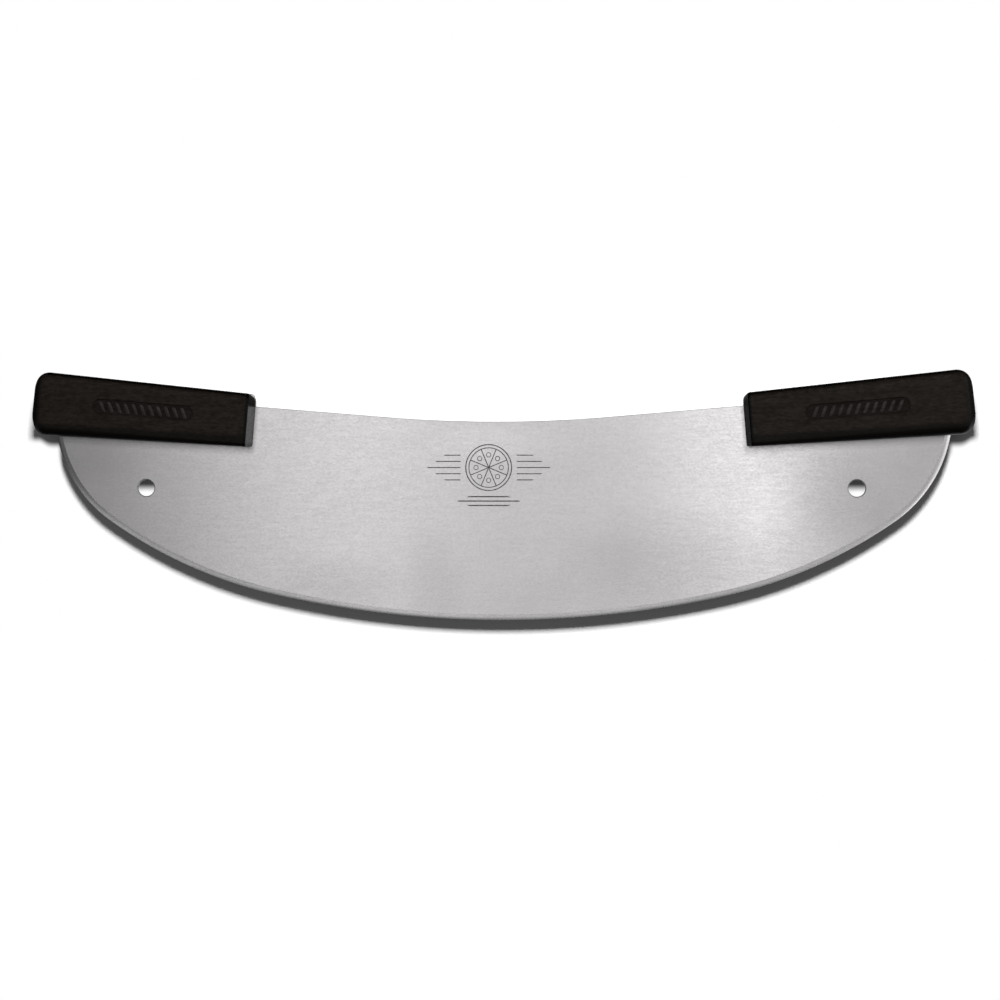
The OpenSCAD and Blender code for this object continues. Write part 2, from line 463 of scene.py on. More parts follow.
@dataclass(frozen=True)
class SteelFinish:
    """Brushed or ground stainless steel."""

    name: str
    colour: Colour
    grain_length: float
    grain_width: float
    grain_contrast: float
    roughness: float
    anisotropy: float
    bump: float
    scratches: float
    marked: bool = False

    def material(self, effects: "Effects") -> Material:
        """Builds the material from the shared node groups."""
        cloud_size, cloud_depth, tooth_scale, tooth_depth = 55.0, 0.015, 1500.0, 0.032
        scratch_gleam, scratch_height, rough_swing, depth = 0.06, 0.5, 0.03, 0.03 * MM
        graph = Surface(self.name)
        streak, fine = graph.effect(effects.grain, Length=self.grain_length, Width=self.grain_width)
        scratch = graph.effect(effects.scratches, Amount=self.scratches)["Scratch"]
        cloud = graph.effect(effects.mottle, Size=cloud_size)["Cloud"]
        contrast, rough = self.grain_contrast, self.roughness
        brushed = graph.band(streak, 0.30, 0.70, 1 - contrast, 1 + contrast)
        even = graph.band(cloud, 0.0, 1.0, 1 - cloud_depth, 1 + cloud_depth)
        specks = graph.noise(graph.at, tooth_scale, 2.0)
        tooth = graph.band(specks, 0.3, 0.7, 1 - tooth_depth, 1 + tooth_depth)
        level = graph.plus(graph.times(brushed, even, tooth), graph.times(scratch, scratch_gleam))
        steel = graph.scaled(self.colour, level)
        rough = graph.plus(graph.band(streak, 0.3, 0.7, rough + rough_swing, rough - rough_swing),
                           graph.band(cloud, 0.0, 1.0, -cloud_depth, cloud_depth))
        if self.marked:
            # Painted light and shade, with a painted shadow by the handles, scale the face's colour
            steel = graph.scaled(steel, self.painted_light_and_shade(graph, effects))
            steel, rough = self.etched(graph, effects, steel, rough)
        graph.shader.inputs["Metallic"].default_value = 1.0
        graph.shader.inputs["Anisotropic"].default_value = self.anisotropy
        graph.shader.inputs["Anisotropic Rotation"].default_value = 0.25
        height = graph.minus(fine, graph.times(scratch, scratch_height))
        return graph.look(steel, rough, height, self.bump, depth)

    @staticmethod
    def painted_light_and_shade(graph: Surface, effects: "Effects") -> Socket:
        """Finds how much painted light and shade, in soft patches and as a painted shadow below and beside a
        handle, dim or lift the face.

        Args:
            graph: The material's nodes.
            effects: Node groups that the finishes use.

        Returns:
            Factor for the steel's colour, near 1.
        """
        x, _, z = graph.split(graph.in_mm(graph.at))
        factor: Feed = 1.0
        for patch in PAINTED_LIGHT_PATCHES:
            wide = graph.over(graph.minus(x, patch.x), patch.half_width)
            high = graph.over(graph.minus(z, patch.z), patch.half_height)
            tone = graph.band(graph.hypotenuse(wide, high), 0.15, 1.0, patch.change, 0.0)
            factor = graph.plus(factor, tone)
        # Painted shadow of the handle on the steel just below and beside it
        edges = graph.effect(effects.edges)
        below = graph.math("MINIMUM", edges["Bottom"], 0.0)
        beside = graph.math("MINIMUM", graph.times(edges["Inner"], PAINTED_SHADOW_NARROWING), 0.0)
        return graph.times(factor, graph.band(graph.hypotenuse(below, beside), *PAINTED_SHADOW_LIMITS, PAINTED_SHADOW_LEVEL, 1.0))

    @staticmethod
    def etched(graph: Surface, effects: "Effects", steel: Feed, rough: Feed) -> tuple[Socket, Socket]:
        """Lays the etched mark on the front face.

        Args:
            graph: The material's nodes.
            effects: Node groups that the finishes use.
            steel: Colour of the bare steel.
            rough: Roughness of the bare steel.

        Returns:
            Colour and roughness with the mark.
        """
        rougher, front = 0.22, -0.9
        from_middle = graph.add("VectorMath", {0: graph.at, 1: MARK_MIDDLE}, operation="SUBTRACT")
        in_mm = graph.in_mm(from_middle.outputs[0])
        mark = graph.place(effects.mark, {"Place": in_mm})["Mark"]
        facing = graph.split(graph.add("NewGeometry").outputs["True Normal"])[1]
        worn = graph.band(graph.noise(in_mm, 0.9, 2.0), 0.30, 0.62, 0.72, 1.0)
        mark = graph.times(mark, graph.math("LESS_THAN", facing, front), worn)
        return graph.mix(mark, steel, MARK_COLOUR), graph.times_plus(mark, rougher, rough)


# Painted shade on a handle's rims and lower band, where light falls away: mm inward from each edge at which
# the shade ends and the full tone starts, and the shade at the edge
RIM_SHADE_FADES = {
    "Bottom": (5.0, 7.6, 0.36),
    "Top": (0.8, 2.4, 0.10),
    "Outer": (1.2, 8.0, 0.10),
    "Inner": (3.3, 4.5, 0.05),
}
# Depth in mm, from the outer end, over which the sheen of the end face fades
END_SHEEN = (0.2, 1.6)


@dataclass(frozen=True)
class PlasticFinish:
    """Near-black moulded plastic with a fine lengthwise texture."""

    name: str
    colour: Colour
    light_colour: Colour
    roughness: float
    specular: float
    bump: float
    grain_length: float = 3.2
    grain_width: float = 0.9
    rim_shaded: bool = False

    def material(self, effects: "Effects") -> Material:
        """Builds the material from the shared node groups."""
        streak_share, scratch_gleam, fine_height, pit_height, depth = 0.7, 0.5, 0.7, 0.5, 0.12 * MM
        graph = Surface(self.name)
        streak, fine = graph.effect(effects.grain, Length=self.grain_length, Width=self.grain_width)
        pits = graph.noise(graph.at, 1600.0, 2.0, 0.6)
        cloud = graph.effect(effects.mottle, Size=5.0)["Cloud"]
        scratch = graph.effect(effects.scratches, Amount=0.8)["Scratch"]
        cloudy = graph.times(cloud, 1 - streak_share)
        tone = graph.times_plus(graph.band(streak, 0.38, 0.64), streak_share, cloudy)
        tone = graph.math("ADD", tone, graph.times(scratch, scratch_gleam), clamp=True)
        colour = graph.mix(tone, (*self.colour, 1.0), (*self.light_colour, 1.0))
        if self.rim_shaded:
            edges = graph.effect(effects.edges)
            # Painted shade: the colour darkens towards the handle's rims and along its lower band
            colour = graph.scaled(colour, self.rub(graph, edges))
            graph.feed(graph.shader.inputs["Coat Weight"], graph.band(edges["Outer"], *END_SHEEN, 1.0, 0.0))
            graph.shader.inputs["Coat Roughness"].default_value = 0.34
        rough = graph.band(tone, 0.0, 1.0, self.roughness + 0.06, self.roughness - 0.08)
        graph.shader.inputs["Specular IOR Level"].default_value = self.specular
        height = graph.times_plus(fine, fine_height, graph.times(pits, pit_height))
        return graph.look(colour, rough, height, self.bump, depth)

    @staticmethod
    def rub(graph: Surface, edges: Outputs) -> Socket:
        """Finds the painted shade on a handle: the full tone on its front and back flats, darker towards the
        rims and along the lower band, and at least half tone on its top, bottom and ends.

        Args:
            graph: The material's nodes.
            edges: Distances from the handle's edges.

        Returns:
            Factor for the plastic's colour, up to 1.
        """
        fades = [graph.band(edges[edge], *fade, 1.0) for edge, fade in RIM_SHADE_FADES.items()]
        depth = graph.math("ABSOLUTE", graph.split(graph.at)[1])
        core = graph.band(depth, 4.5 * MM, 7.5 * MM, 0.5, 0.0)
        return graph.math("MAXIMUM", graph.times(*fades), core)


@dataclass(frozen=True)
class PaleFloorFinish:
    """White sheet behind the knife, seen from its front alone and by the camera alone.

    It glows where the photographed shadow is shallower: far out, under the handles' outer ends and
    through the lower part of each hanging hole.
    """

    name: str = "white_sheet"
    glow_half_width: float = 340 * MM
    glow_half_height: float = 105 * MM
    glow_height: float = 70 * MM
    end_from: float = 254 * MM
    end_to: float = 268 * MM
    end_rise: float = 3.3 * MM
    hole_reach: float = 7 * MM

    def material(self) -> Material:
        """Builds the material."""
        graph = Surface(self.name)
        tooth = graph.band(graph.noise(graph.at, 900.0, 2.0), 0.3, 0.7, 0.985, 1.0)
        paper = graph.add("CombineXYZ", {0: tooth, 1: tooth, 2: tooth}).outputs[0]
        graph.feed(graph.shader.inputs["Base Color"], paper)
        graph.shader.inputs["Roughness"].default_value = 1.0
        graph.shader.inputs["Specular IOR Level"].default_value = 0.0
        x, _, z = graph.split(graph.at)
        side = graph.math("ABSOLUTE", x)
        glowing = graph.chain("MAXIMUM", self.far_out(graph, x, z), self.under_ends(graph, side, z),
                              self.through_holes(graph, side, z))
        glow = graph.add("Emission", {"Color": (1.0, 1.0, 1.0, 1.0), "Strength": 1.0})
        lit = graph.add("MixShader", {0: glowing, 1: graph.shader.outputs[0], 2: glow.outputs[0]})
        front = graph.minus(1.0, graph.add("NewGeometry").outputs["Backfacing"])
        seen = graph.times(front, graph.add("LightPath").outputs["Is Camera Ray"])
        clear = graph.add("BsdfTransparent")
        mix = graph.add("MixShader", {0: seen, 1: clear.outputs[0], 2: lit.outputs[0]})
        graph.feed(graph.output.inputs["Surface"], mix.outputs[0])
        return graph.material

    def far_out(self, graph: Graph, x: Feed, z: Feed) -> Socket:
        """Masks all that lies outside an ellipse round the knife."""
        wide = graph.over(x, self.glow_half_width)
        high = graph.over(graph.minus(z, self.glow_height), self.glow_half_height)
        return graph.band(graph.hypotenuse(wide, high), 0.86, 1.05)

    def under_ends(self, graph: Graph, side: Feed, z: Feed) -> Socket:
        """Masks the sheet below a line that bends up under each handle's outer end, where its glow is painted
        light that thins the handle's shadow.
        """
        bend = graph.math("POWER", graph.band(side, self.end_from, self.end_to), 4.0)
        level = graph.times_plus(bend, -self.end_rise, z)
        past = graph.band(side, 253.5 * MM, 257.5 * MM)
        return graph.times(past, graph.band(level, 96.7 * MM, 101.7 * MM, 1.0, 0.0))

    def through_holes(self, graph: Graph, side: Feed, z: Feed) -> Socket:
        """Masks the sheet behind the lower part of each hanging hole, where its glow is painted light that
        thins the shadow seen through it.
        """
        hole_x, hole_z = Blade.hole_at
        off_x, off_z = graph.minus(side, hole_x), graph.minus(z, hole_z)
        off = graph.math("MAXIMUM", graph.math("ABSOLUTE", off_x), graph.math("ABSOLUTE", off_z))
        near = graph.band(off, self.hole_reach, self.hole_reach + 2 * MM, 1.0, 0.0)
        return graph.times(near, graph.band(off_z, -3.5 * MM, 2.5 * MM, 1.0, 0.0))


@dataclass(frozen=True)
class Effects:
    """Node groups that the finishes use."""

    grain: Tree
    scratches: Tree
    mottle: Tree
    edges: Tree
    mark: Tree

    @classmethod
    def build(cls) -> "Effects":
        """Builds every group once."""
        return cls(lengthwise_grain_group(), fine_scratch_group(), soft_mottle_group(), handle_edges_group(),
                   pie_mark_group())


BLADE_FACE = SteelFinish(
    "brushed_blade_face", (0.668, 0.650, 0.658), 1.5, 0.75, 0.055, 0.22, 0.9, 0.095, 0.5, True)
GROUND_EDGE = SteelFinish("ground_cutting_edge", (0.65, 0.635, 0.642), 2.0, 0.6, 0.06, 0.26, 0.6, 0.3, 0.3)
# Darker than the face steel: painted shade on the plate's rounded sides and the rims of its holes
SHEARED_EDGE = SteelFinish("sheared_blade_side", (0.32, 0.32, 0.32), 3.0, 0.22, 0.10, 0.36, 0.3, 0.6, 0.2)
HANDLE_SKIN = PlasticFinish(
    "moulded_handle_skin", (0.0032, 0.0023, 0.0017), (0.0122, 0.0094, 0.0079), 0.42, 0.11, 0.45, rim_shaded=True)
HANDLE_RECESS = PlasticFinish(
    "moulded_recess_floor", (0.0040, 0.0030, 0.0026), (0.0090, 0.0072, 0.0064), 0.6, 0.07, 0.3)
HANDLE_END = PlasticFinish(
    "smooth_end_face", (0.0045, 0.0036, 0.0030), (0.0075, 0.0062, 0.0054), 0.26, 0.6, 0.1)
# Paler than the skin: a painted highlight on the ribs, in place of the glints along their edges
HANDLE_RIB = PlasticFinish(
    "rubbed_rib", (0.0060, 0.0048, 0.0042), (0.0200, 0.0165, 0.0150), 0.36, 0.20, 0.3)
STEEL_FINISHES = (BLADE_FACE, GROUND_EDGE, SHEARED_EDGE)
PLASTIC_FINISHES = (HANDLE_SKIN, HANDLE_RECESS, HANDLE_END, HANDLE_RIB)


# Mesh helpers


def linked(name: str, data: bpy.types.ID) -> Piece:
    """Makes an object of a mesh, lamp or camera and links it to the scene."""
    piece = bpy.data.objects.new(name, data)
    bpy.context.scene.collection.objects.link(piece)
    return piece


def dressed(name: str, mesh: Mesh, materials: Iterable[Material]) -> Piece:
    """Puts a mesh in the scene, with its materials in slot order."""
    piece = linked(name, mesh)
    for material in materials:
        mesh.materials.append(material)
    return piece


def closed_mesh(built: Shell, name: str) -> Mesh:
    """Turns a closed shell into a mesh with its normals outwards, and frees the shell."""
    bmesh.ops.recalc_face_normals(built, faces=built.faces)
    mesh = bpy.data.meshes.new(name)
    built.to_mesh(mesh)
    built.free()
    return mesh


def bridge(built: Shell, a: list[Vert], b: list[Vert], slots: Sequence[int], flip: bool = False) -> None:
    """Joins two closed lines of points with four-sided faces.

    Args:
        built: Shell to add to.
        a: First line.
        b: Second line, of as many points.
        slots: Material slot of each step along the lines.
        flip: Whether the faces wind the other way.
    """
    for i, slot in enumerate(slots):
        j = (i + 1) % len(a)
        corners = [a[i], a[j], b[j], b[i]]
        made = built.faces.new(corners[::-1] if flip else corners)
        made.material_index = slot
        made.smooth = True


def heading(angle: float) -> Vector:
    """Unit vector, as X and Z, at an angle in radians from straight down towards +X."""
    return Vector((math.sin(angle), -math.cos(angle)))


@dataclass(frozen=True)
class RimPoint:
    """A point of the blade's outline, as X and Z, with its outward direction."""

    at: Vector
    out: Vector
    ground: bool

    def mirrored(self) -> "RimPoint":
        """The same point at the other end of the knife."""
        flip = Vector((-1.0, 1.0))
        return RimPoint(self.at * flip, self.out * flip, self.ground)


# Sub-assemblies


@dataclass
class Blade:
    """The steel plate: three edge arcs, a ground bevel, a dipped back and two hanging holes."""

    belly_radius: float = 590 * MM
    belly_half_angle: float = math.radians(12.5)
    shoulder_radius: float = 265 * MM
    tip_radius: float = 75 * MM
    spine_radius: float = 760 * MM
    bevel_width: float = 3.2 * MM
    edge_thickness: float = 0.2 * MM
    hole_radius: float = 4.75 * MM
    hole_at: Flat = (202 * MM, 74.885 * MM)
    hole_rounding: float = 0.5 * MM
    hole_steps: int = 72
    tang_corner: float = 6 * MM
    tilt: float = math.radians(4.7)
    spine_low: float = 109.904 * MM
    rim_rounding: float = 0.22 * MM
    grind_line: float = 0.03 * MM
    bevel_curve: float = 1.6
    bevel_shares: tuple[float, ...] = (0.0, 0.12, 0.3, 0.6, 0.95)
    step: float = 1.6 * MM
    crease: float = math.radians(12)

    def __post_init__(self) -> None:
        """Takes the plate's length and thickness from the frame and finds the arcs' centres."""
        low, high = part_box("blade")
        self.tip_x = (high[0] - low[0]) / 2
        self.half = (high[1] - low[1]) / 2
        belly = Vector((0.0, self.belly_radius))
        shoulder = belly + (self.belly_radius - self.shoulder_radius) * heading(self.belly_half_angle)
        reach = (self.tip_x - self.tip_radius - shoulder.x) / (self.shoulder_radius - self.tip_radius)
        self.shoulder_end = math.asin(reach)
        tip = shoulder + (self.shoulder_radius - self.tip_radius) * heading(self.shoulder_end)
        self.arcs = (
            (belly, self.belly_radius, 0.0, self.belly_half_angle),
            (shoulder, self.shoulder_radius, self.belly_half_angle, self.shoulder_end),
            (tip, self.tip_radius, self.shoulder_end, math.pi / 2),
        )

    def arc(self, centre: Vector, radius: float, start: float, end: float, ground: bool,
            hollow: bool = False) -> list[RimPoint]:
        """Samples one arc of the outline.

        Args:
            centre: Centre as X and Z.
            radius: Radius.
            start: First heading in radians.
            end: Last heading, which is left to the next stretch.
            ground: Whether the bevel runs along it.
            hollow: Whether the steel lies outside the arc.

        Returns:
            The points.
        """
        count = max(4, round(abs(end - start) * radius / self.step))
        points = []
        for i in range(count):
            way = heading(start + (end - start) * i / count)
            points.append(RimPoint(centre + radius * way, -way if hollow else way, ground))
        return points

    def right_rim(self) -> list[RimPoint]:
        """Outline of the right half, from the lowest point of the edge to the middle of the back."""
        points = [point for arc in self.arcs for point in self.arc(*arc, True)]
        corner_x = self.tip_x - self.tang_corner
        drop = self.tang_corner / math.cos(self.tilt)
        corner = Vector((corner_x, self.spine_low + corner_x * math.tan(self.tilt) - drop))
        side, tip_z = Vector((1.0, 0.0)), self.arcs[2][0].y
        points.append(RimPoint(Vector((self.tip_x, tip_z)), side, True))
        points.append(RimPoint(Vector((self.tip_x, tip_z + 1 * MM)), side, False))
        points += self.arc(corner, self.tang_corner, math.pi / 2, math.pi + self.tilt, False)
        up = -heading(self.tilt)
        slope_start = corner + self.tang_corner * up
        spine_centre = Vector((0.0, self.spine_low + self.spine_radius / math.cos(self.tilt)))
        slope_end = spine_centre + self.spine_radius * heading(self.tilt)
        count = round((slope_start - slope_end).length / (4 * self.step))
        points += [RimPoint(slope_start.lerp(slope_end, i / count), up, False) for i in range(count)]
        points += self.arc(spine_centre, self.spine_radius, self.tilt, 0.0, False, hollow=True)
        middle = spine_centre + self.spine_radius * heading(0.0)
        return points + [RimPoint(middle, Vector((0.0, 1.0)), False)]

    def rim(self) -> list[RimPoint]:
        """Whole outline, once round."""
        right = self.right_rim()
        return right + [point.mirrored() for point in right[-2:0:-1]]

    def rings(self, point: RimPoint) -> list[Flat]:
        """Section of the plate's rim at one point, from its outermost line inwards.

        Args:
            point: Point of the outline.

        Returns:
            Inset and half thickness of each line.
        """
        if point.ground:
            edge, rise = self.edge_thickness / 2, self.half - self.grind_line
            lines = [(s, edge + (rise - edge) * (1 - (1 - s) ** self.bevel_curve)) for s in self.bevel_shares]
            return [(self.bevel_width * s, half) for s, half in lines + [(1.0, self.half)]]
        turns = [math.radians(a) for a in (0, 18, 36, 54, 72, 90)]
        r = self.rim_rounding
        return [(r * (1 - math.cos(a)), self.half - r + r * math.sin(a)) for a in turns]

    def hole(self, side: Side) -> list[list[Point]]:
        """Rings of one hanging hole as X, half thickness and Z, from the wall out to the face."""
        x, z = side.value * self.hole_at[0], self.hole_at[1]
        rings = []
        for a in (math.radians(turn) for turn in (0, 30, 60, 90)):
            radius = self.hole_radius + self.hole_rounding * (1 - math.cos(a))
            depth = self.half - self.hole_rounding + self.hole_rounding * math.sin(a)
            turns = [2 * math.pi * i / self.hole_steps for i in range(self.hole_steps)]
            rings.append([(x + radius * math.cos(t), depth, z + radius * math.sin(t)) for t in turns])
        return rings

    def mesh(self) -> Mesh:
        """Builds the closed mesh of the plate.

        Returns:
            The mesh, with its slots as in SteelSlot.
        """
        rim = self.rim()
        slots = [SteelSlot.GROUND if point.ground else SteelSlot.SHEARED for point in rim]
        wall_slots = [SteelSlot.SHEARED] * self.hole_steps
        sections = [self.rings(point) for point in rim]
        lines = [[(p.at.x - p.out.x * inset, half, p.at.y - p.out.y * inset)
                  for p, (inset, half) in zip(rim, line)] for line in zip(*sections)]
        holes = [self.hole(side) for side in Side]
        built = bmesh.new()
        outer: dict[Face, list[Vert]] = {}
        walls: list[dict[Face, list[Vert]]] = [{}, {}]
        for face in Face:
            flip = face is Face.BACK
            loops = self.placed(built, lines, face)
            for a, b in zip(loops, loops[1:]):
                bridge(built, a, b, slots, flip)
            outer[face] = loops[0]
            borders = [loops[-1]]
            for wall, hole in zip(walls, holes):
                loops = self.placed(built, hole, face)
                for a, b in zip(loops, loops[1:]):
                    bridge(built, b, a, wall_slots, flip)
                wall[face] = loops[0]
                borders.append(loops[-1])
            self.fill(built, borders, flip)
        bridge(built, outer[Face.BACK], outer[Face.FRONT], slots)
        for wall in walls:
            bridge(built, wall[Face.FRONT], wall[Face.BACK], wall_slots)
        return closed_mesh(built, "blade_steel")

    @staticmethod
    def placed(built: Shell, lines: Iterable[Iterable[Point]], face: Face) -> list[list[Vert]]:
        """Puts lines of points on one face of the knife."""
        return [[built.verts.new((x, face.value * y, z)) for x, y, z in line] for line in lines]

    @staticmethod
    def fill(built: Shell, loops: list[list[Vert]], flip: bool) -> None:
        """Fills the flat face inside the first line and outside the others.

        Args:
            built: Shell to add to.
            loops: The outline and then the holes.
            flip: Whether the faces wind the other way.
        """
        points = [vert for loop in loops for vert in loop]
        flat = [[Vector((vert.co.x, vert.co.z, 0.0)) for vert in loop] for loop in loops]
        for triangle in tessellate_polygon(flat):
            corners = [points[i] for i in triangle]
            built.faces.new(corners[::-1] if flip else corners).smooth = False

    def build(self, materials: Iterable[Material]) -> Piece:
        """Builds and dresses the blade.

        Args:
            materials: The steel's materials, in the order of SteelSlot.

        Returns:
            The piece.
        """
        mesh = self.mesh()
        smooth = [face.use_smooth for face in mesh.polygons]
        mesh.set_sharp_from_angle(angle=self.crease)
        mesh.polygons.foreach_set("use_smooth", smooth)
        piece = dressed("blade_steel", mesh, materials)
        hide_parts("blade")
        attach(piece, "root")
        return piece


@dataclass
class Handle:
    """A plastic handle moulded over one tang, with a recessed rib panel on both faces."""

    side: Side
    length: float = 127.8 * MM
    tilt: float = math.radians(4.7)
    overhang: float = 11.7 * MM
    middle_over_tip: Flat = (255 * MM, 122.742 * MM)
    inner_half: float = 15.1 * MM
    outer_half: float = 18.3 * MM
    top_rounding: float = 4 * MM
    bottom_rounding_inner: float = 3 * MM
    bottom_rounding_outer: float = 8 * MM
    outer_corner: float = 9 * MM
    end_rounding: float = 5.5 * MM
    inner_top_corner: float = 4.5 * MM
    outer_top_setback: float = 1 * MM
    setback: float = 2.4 * MM
    crease_rounding: float = 0.7 * MM
    lip_half: float = 2.2 * MM
    groove_depth: float = 0.12 * MM
    groove_half: float = 0.28 * MM
    panel_share: float = 0.49
    panel_lift: float = 0.8 * MM
    panel_depth: float = 0.6 * MM
    panel_half_length: float = 29 * MM
    panel_half_height: float = 4.4 * MM
    rib_count: int = 11
    rib_pitch: float = 4.7 * MM
    rib_half_length: float = 3.1 * MM
    rib_half_width: float = 1.15 * MM
    rib_slant: float = math.radians(24)
    round_steps: int = 16
    crease: float = math.radians(28)

    def __post_init__(self) -> None:
        """Takes the handle's thickness from the frame and finds its two ends along its middle line."""
        low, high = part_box(f"{self.side.name.lower()}_handle")
        self.half_thickness = (high[1] - low[1]) / 2
        self.outer_u = self.overhang / math.cos(self.tilt)
        self.inner_u = self.outer_u - self.length

    def to_frame(self) -> Matrix:
        """Matrix from the handle's own axes, along, through and across, to the knife's."""
        turn = Matrix.Rotation(-self.tilt, 4, "Y")
        move = Matrix.Translation((self.middle_over_tip[0], 0.0, self.middle_over_tip[1]))
        flip = Matrix.Scale(float(self.side.value), 4, (1.0, 0.0, 0.0))
        return flip @ move @ turn

    def stations(self) -> list[float]:
        """Places along the handle where it has a section, from the inner end out."""
        inner = [self.inner_u + s * MM for s in (0, 0.12, 0.35, 0.8, 1.3, 1.8, 2.15)]
        crease = self.inner_u + self.setback
        inner += [crease + self.crease_rounding * (1 - math.cos(math.radians(a))) for a in range(0, 91, 15)]
        inner += [crease + s * MM for s in (1.1, 1.6, 2.1)]
        bend = self.outer_u - self.outer_corner
        count = 26
        straight = [inner[-1] + (bend - inner[-1]) * i / count for i in range(1, count)]
        end = [bend + self.outer_corner * math.sin(math.radians(a)) for a in range(0, 91, 5)]
        return inner + straight + end

    def section(self, u: float) -> list[Vector]:
        """Ring of points round the handle at one place along it.

        Args:
            u: Place along the middle line.

        Returns:
            The points in the handle's own axes.
        """
        def trim(radius: float, past: float) -> float:
            """Finds how far a quarter round falls back, at a distance past its start."""
            return radius - math.sqrt(max(0.0, radius**2 - max(0.0, past) ** 2))

        share = (u - self.inner_u) / self.length
        half = self.inner_half + (self.outer_half - self.inner_half) * share
        top = bottom = half - trim(self.outer_corner, u - (self.outer_u - self.outer_corner))
        thick = self.half_thickness - trim(self.end_rounding, u - (self.outer_u - self.end_rounding))
        top -= trim(self.inner_top_corner, self.inner_u + self.inner_top_corner - u)
        back = self.inner_u + self.setback - u
        blunt = self.crease_rounding
        if back > 0:
            thick -= blunt
            thick += (self.lip_half - thick) * back / self.setback
            bottom -= 0.35 * MM * (back / self.setback) ** 2
        elif back > -blunt:
            thick -= trim(blunt, blunt + back)
        r_top = min(self.top_rounding, thick * 0.92)
        r_low = self.bottom_rounding_inner + (self.bottom_rounding_outer - self.bottom_rounding_inner) * share
        r_low = min(r_low, thick * 0.92, bottom * 0.9)
        lean = self.outer_top_setback * max(0.0, (share - 0.6) / 0.4)
        corners = self.ring(top, -bottom, thick, r_top, r_low)
        return [Vector((u - lean * (0.5 + 0.5 * v / half), w, v)) for v, w in corners]

    def ring(self, top: float, bottom: float, thick: float, r_top: float, r_low: float) -> list[Flat]:
        """Rounded rectangle with a parting groove in the middle of its top and bottom.

        Args:
            top: Height of its top.
            bottom: Height of its bottom.
            thick: Half thickness.
            r_top: Rounding of the top corners.
            r_low: Rounding of the bottom corners.

        Returns:
            Pairs across and through, once round from the top's middle.
        """
        corner_turns = [math.pi / 2 * i / 8 for i in range(9)]
        side_steps = 7
        groove = min(self.groove_half, (thick - max(r_top, r_low)) * 0.6)
        quarter: list[Flat] = [(top - self.groove_depth, 0.0), (top, groove)]
        quarter += [(top, groove + (thick - r_top - groove) * i / 3) for i in (1, 2)]
        corner = (top - r_top, thick - r_top)
        quarter += [(corner[0] + r_top * math.cos(a), corner[1] + r_top * math.sin(a)) for a in corner_turns]
        upper, lower = top - r_top, bottom + r_low
        quarter += [(upper + (lower - upper) * i / side_steps, thick) for i in range(1, side_steps)]
        corner = (bottom + r_low, thick - r_low)
        quarter += [(corner[0] - r_low * math.sin(a), corner[1] + r_low * math.cos(a)) for a in corner_turns]
        quarter += [(bottom, groove + (thick - r_low - groove) * i / 3) for i in (2, 1)]
        quarter += [(bottom, groove), (bottom + self.groove_depth, 0.0)]
        return quarter + [(v, -w) for v, w in quarter[-2:0:-1]]

    def skin(self) -> Mesh:
        """Builds the closed skin of the handle, without its panels.

        Returns:
            The mesh.
        """
        weld = 1e-7
        built = bmesh.new()
        stations = self.stations()
        rings = [[built.verts.new(point) for point in self.section(u)] for u in stations]
        for u, a, b in zip(stations, rings, rings[1:]):
            slot = PlasticSlot.END if u < self.inner_u + self.setback else PlasticSlot.SKIN
            bridge(built, a, b, [slot] * len(a))
        built.faces.new(rings[0][::-1]).material_index = PlasticSlot.END
        built.faces.new(rings[-1])
        bmesh.ops.remove_doubles(built, verts=built.verts, dist=weld)
        return closed_mesh(built, "handle_skin")

    def panel_cutter(self, face: Face) -> Mesh:
        """Builds what is cut out of one face for its shallow round-ended panel.

        Args:
            face: Face of the knife.

        Returns:
            The mesh.
        """
        half_length, half_height = self.panel_half_length, self.panel_half_height
        middle = self.inner_u + self.length * self.panel_share
        overcut, flare, draft = 0.5 * MM, 0.12 * MM, -0.18 * MM
        built = bmesh.new()
        outline = []
        for centre, start in ((half_length - half_height, -90), (half_height - half_length, 90)):
            for i in range(self.round_steps + 1):
                a = math.radians(start + 180 * i / self.round_steps)
                outline.append((centre + half_height * math.cos(a), half_height * math.sin(a)))
        rings = []
        for level, grow in ((-overcut, flare), (0.0, flare), (self.panel_depth, draft)):
            wide, high = 1 + grow / half_length, 1 + grow / half_height
            y = face.value * (self.half_thickness - level)
            points = [(middle + x * wide, y, z * high + self.panel_lift) for x, z in outline]
            rings.append([built.verts.new(point) for point in points])
        for a, b in zip(rings, rings[1:]):
            bridge(built, a, b, [PlasticSlot.SKIN] * len(a))
        built.faces.new(rings[0])
        built.faces.new(rings[-1][::-1]).material_index = PlasticSlot.RECESS
        return closed_mesh(built, "panel_cutter")

    def ribs(self, face: Face) -> Mesh:
        """Builds the row of slanted ribs that stand on one panel's floor.

        Args:
            face: Face of the knife.

        Returns:
            The mesh, one closed round-ended bar for each rib.
        """
        rooted, sunk = 0.3 * MM, 0.08 * MM
        middle = self.inner_u + self.length * self.panel_share
        bottom = self.half_thickness - self.panel_depth - rooted
        top = self.half_thickness - sunk
        rounding = ((0.28 * MM, 0.0), (0.08 * MM, 0.12 * MM), (0.0, 0.34 * MM))
        levels = [(bottom, 0.0)] + [(top - drop, inset) for drop, inset in rounding]
        turns = [2 * math.pi * (step + 0.5) / self.round_steps for step in range(self.round_steps)]
        built = bmesh.new()
        for number in range(self.rib_count):
            centre = middle + (number - (self.rib_count - 1) / 2) * self.rib_pitch
            rings = []
            for level, inset in levels:
                ring = []
                width, length = self.rib_half_width - inset, self.rib_half_length - inset
                for a in turns:
                    along = width * math.cos(a)
                    across = math.copysign(length - width, math.sin(a)) + width * math.sin(a)
                    x = centre + along + across * math.tan(self.rib_slant)
                    ring.append(built.verts.new((x, face.value * level, self.panel_lift + across)))
                rings.append(ring)
            for a, b in zip(rings, rings[1:]):
                bridge(built, a, b, [PlasticSlot.RIB] * len(a))
            for cap in (rings[0], rings[-1][::-1]):
                built.faces.new(cap).material_index = PlasticSlot.RIB
        return closed_mesh(built, "panel_ribs")

